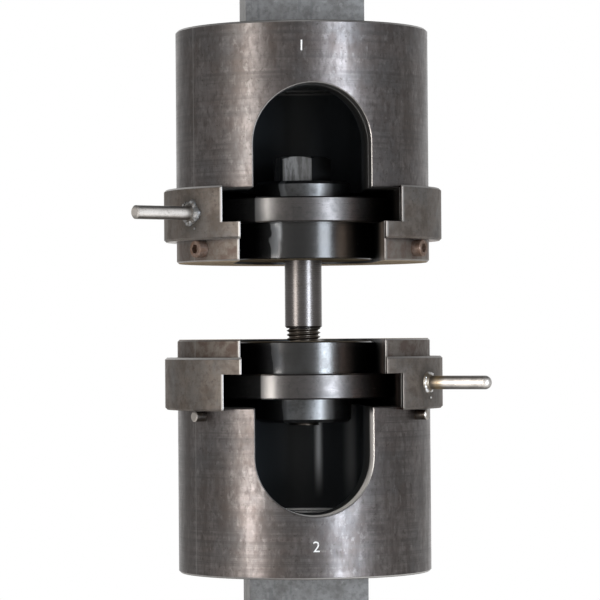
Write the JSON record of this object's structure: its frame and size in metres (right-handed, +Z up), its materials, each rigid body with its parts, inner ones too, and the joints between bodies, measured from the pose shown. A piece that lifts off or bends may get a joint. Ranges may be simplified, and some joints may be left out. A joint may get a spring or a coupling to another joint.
{
  "type": "bolt test fixture",
  "caption": "Facing slotted steel cups with turning locking rings hold flanged holders and a bolt between them for a tensile test.",
  "frame": {"origin": "centre of the end face of the upper tang, on the load axis", "axes": "+Z up the load axis, -Y out of the front of the slots, +X to the right seen from the front"},
  "size_m": [0.2075, 0.1575, 0.433],
  "materials": {
    "cup_steel": "turned and aged",
    "ring_steel": "turned, matte",
    "holder_steel": "turned, oiled",
    "bolt_steel": "machined",
    "handle_steel": "drawn bar",
    "tang_steel": "milled",
    "screw_steel": "blackened",
    "pin_steel": "ground"
  },
  "bodies": {
    "upper_housing": {"upper_cup": "cup_steel", "upper_tang": "tang_steel", "upper_lock_screw": "screw_steel", "ring_screw_left": "screw_steel", "ring_screw_right": "screw_steel", "ring_screw_rear": "screw_steel"},
    "upper_ring_body": {"upper_ring": "ring_steel", "upper_handle": "handle_steel"},
    "lower_housing": {"lower_cup": "cup_steel", "lower_tang": "tang_steel", "lower_lock_screw": "screw_steel", "ring_pin_left": "pin_steel", "ring_pin_right": "pin_steel", "ring_pin_rear": "pin_steel"},
    "lower_ring_body": {"lower_ring": "ring_steel", "lower_handle": "handle_steel"},
    "upper_holder_body": {"upper_holder": "holder_steel"},
    "bolt_body": {"bolt": "bolt_steel"},
    "lower_holder_body": {"lower_holder": "holder_steel"}
  },
  "joints": [
    {"name": "upper_ring_turn", "type": "hinge", "parent": "upper_housing", "child": "upper_ring_body", "pos_m": [0, 0, -0.1658], "axis": [0, 0, 1], "continuous": true},
    {"name": "crosshead_travel", "type": "slide", "parent": "upper_housing", "child": "lower_housing", "axis": [0, 0, 1], "range_m": [0, 0.037]},
    {"name": "lower_ring_turn", "type": "hinge", "parent": "lower_housing", "child": "lower_ring_body", "pos_m": [0, 0, -0.265], "axis": [0, 0, 1], "continuous": true},
    {"name": "specimen_slide", "type": "slide", "parent": "upper_housing", "child": "upper_holder_body", "axis": [0, -1, 0], "range_m": [0, 0.14]},
    {"name": "bolt_lift", "type": "slide", "parent": "upper_holder_body", "child": "bolt_body", "axis": [0, 0, 1], "range_m": [0, 0.037]},
    {"name": "lower_holder_turn", "type": "hinge", "parent": "bolt_body", "child": "lower_holder_body", "pos_m": [0, 0, -0.27], "axis": [0, 0, 1], "continuous": true}
  ],
  "couplings": [
    {"joint": "bolt_lift", "follows": "crosshead_travel", "ratio": 1}
  ]
}
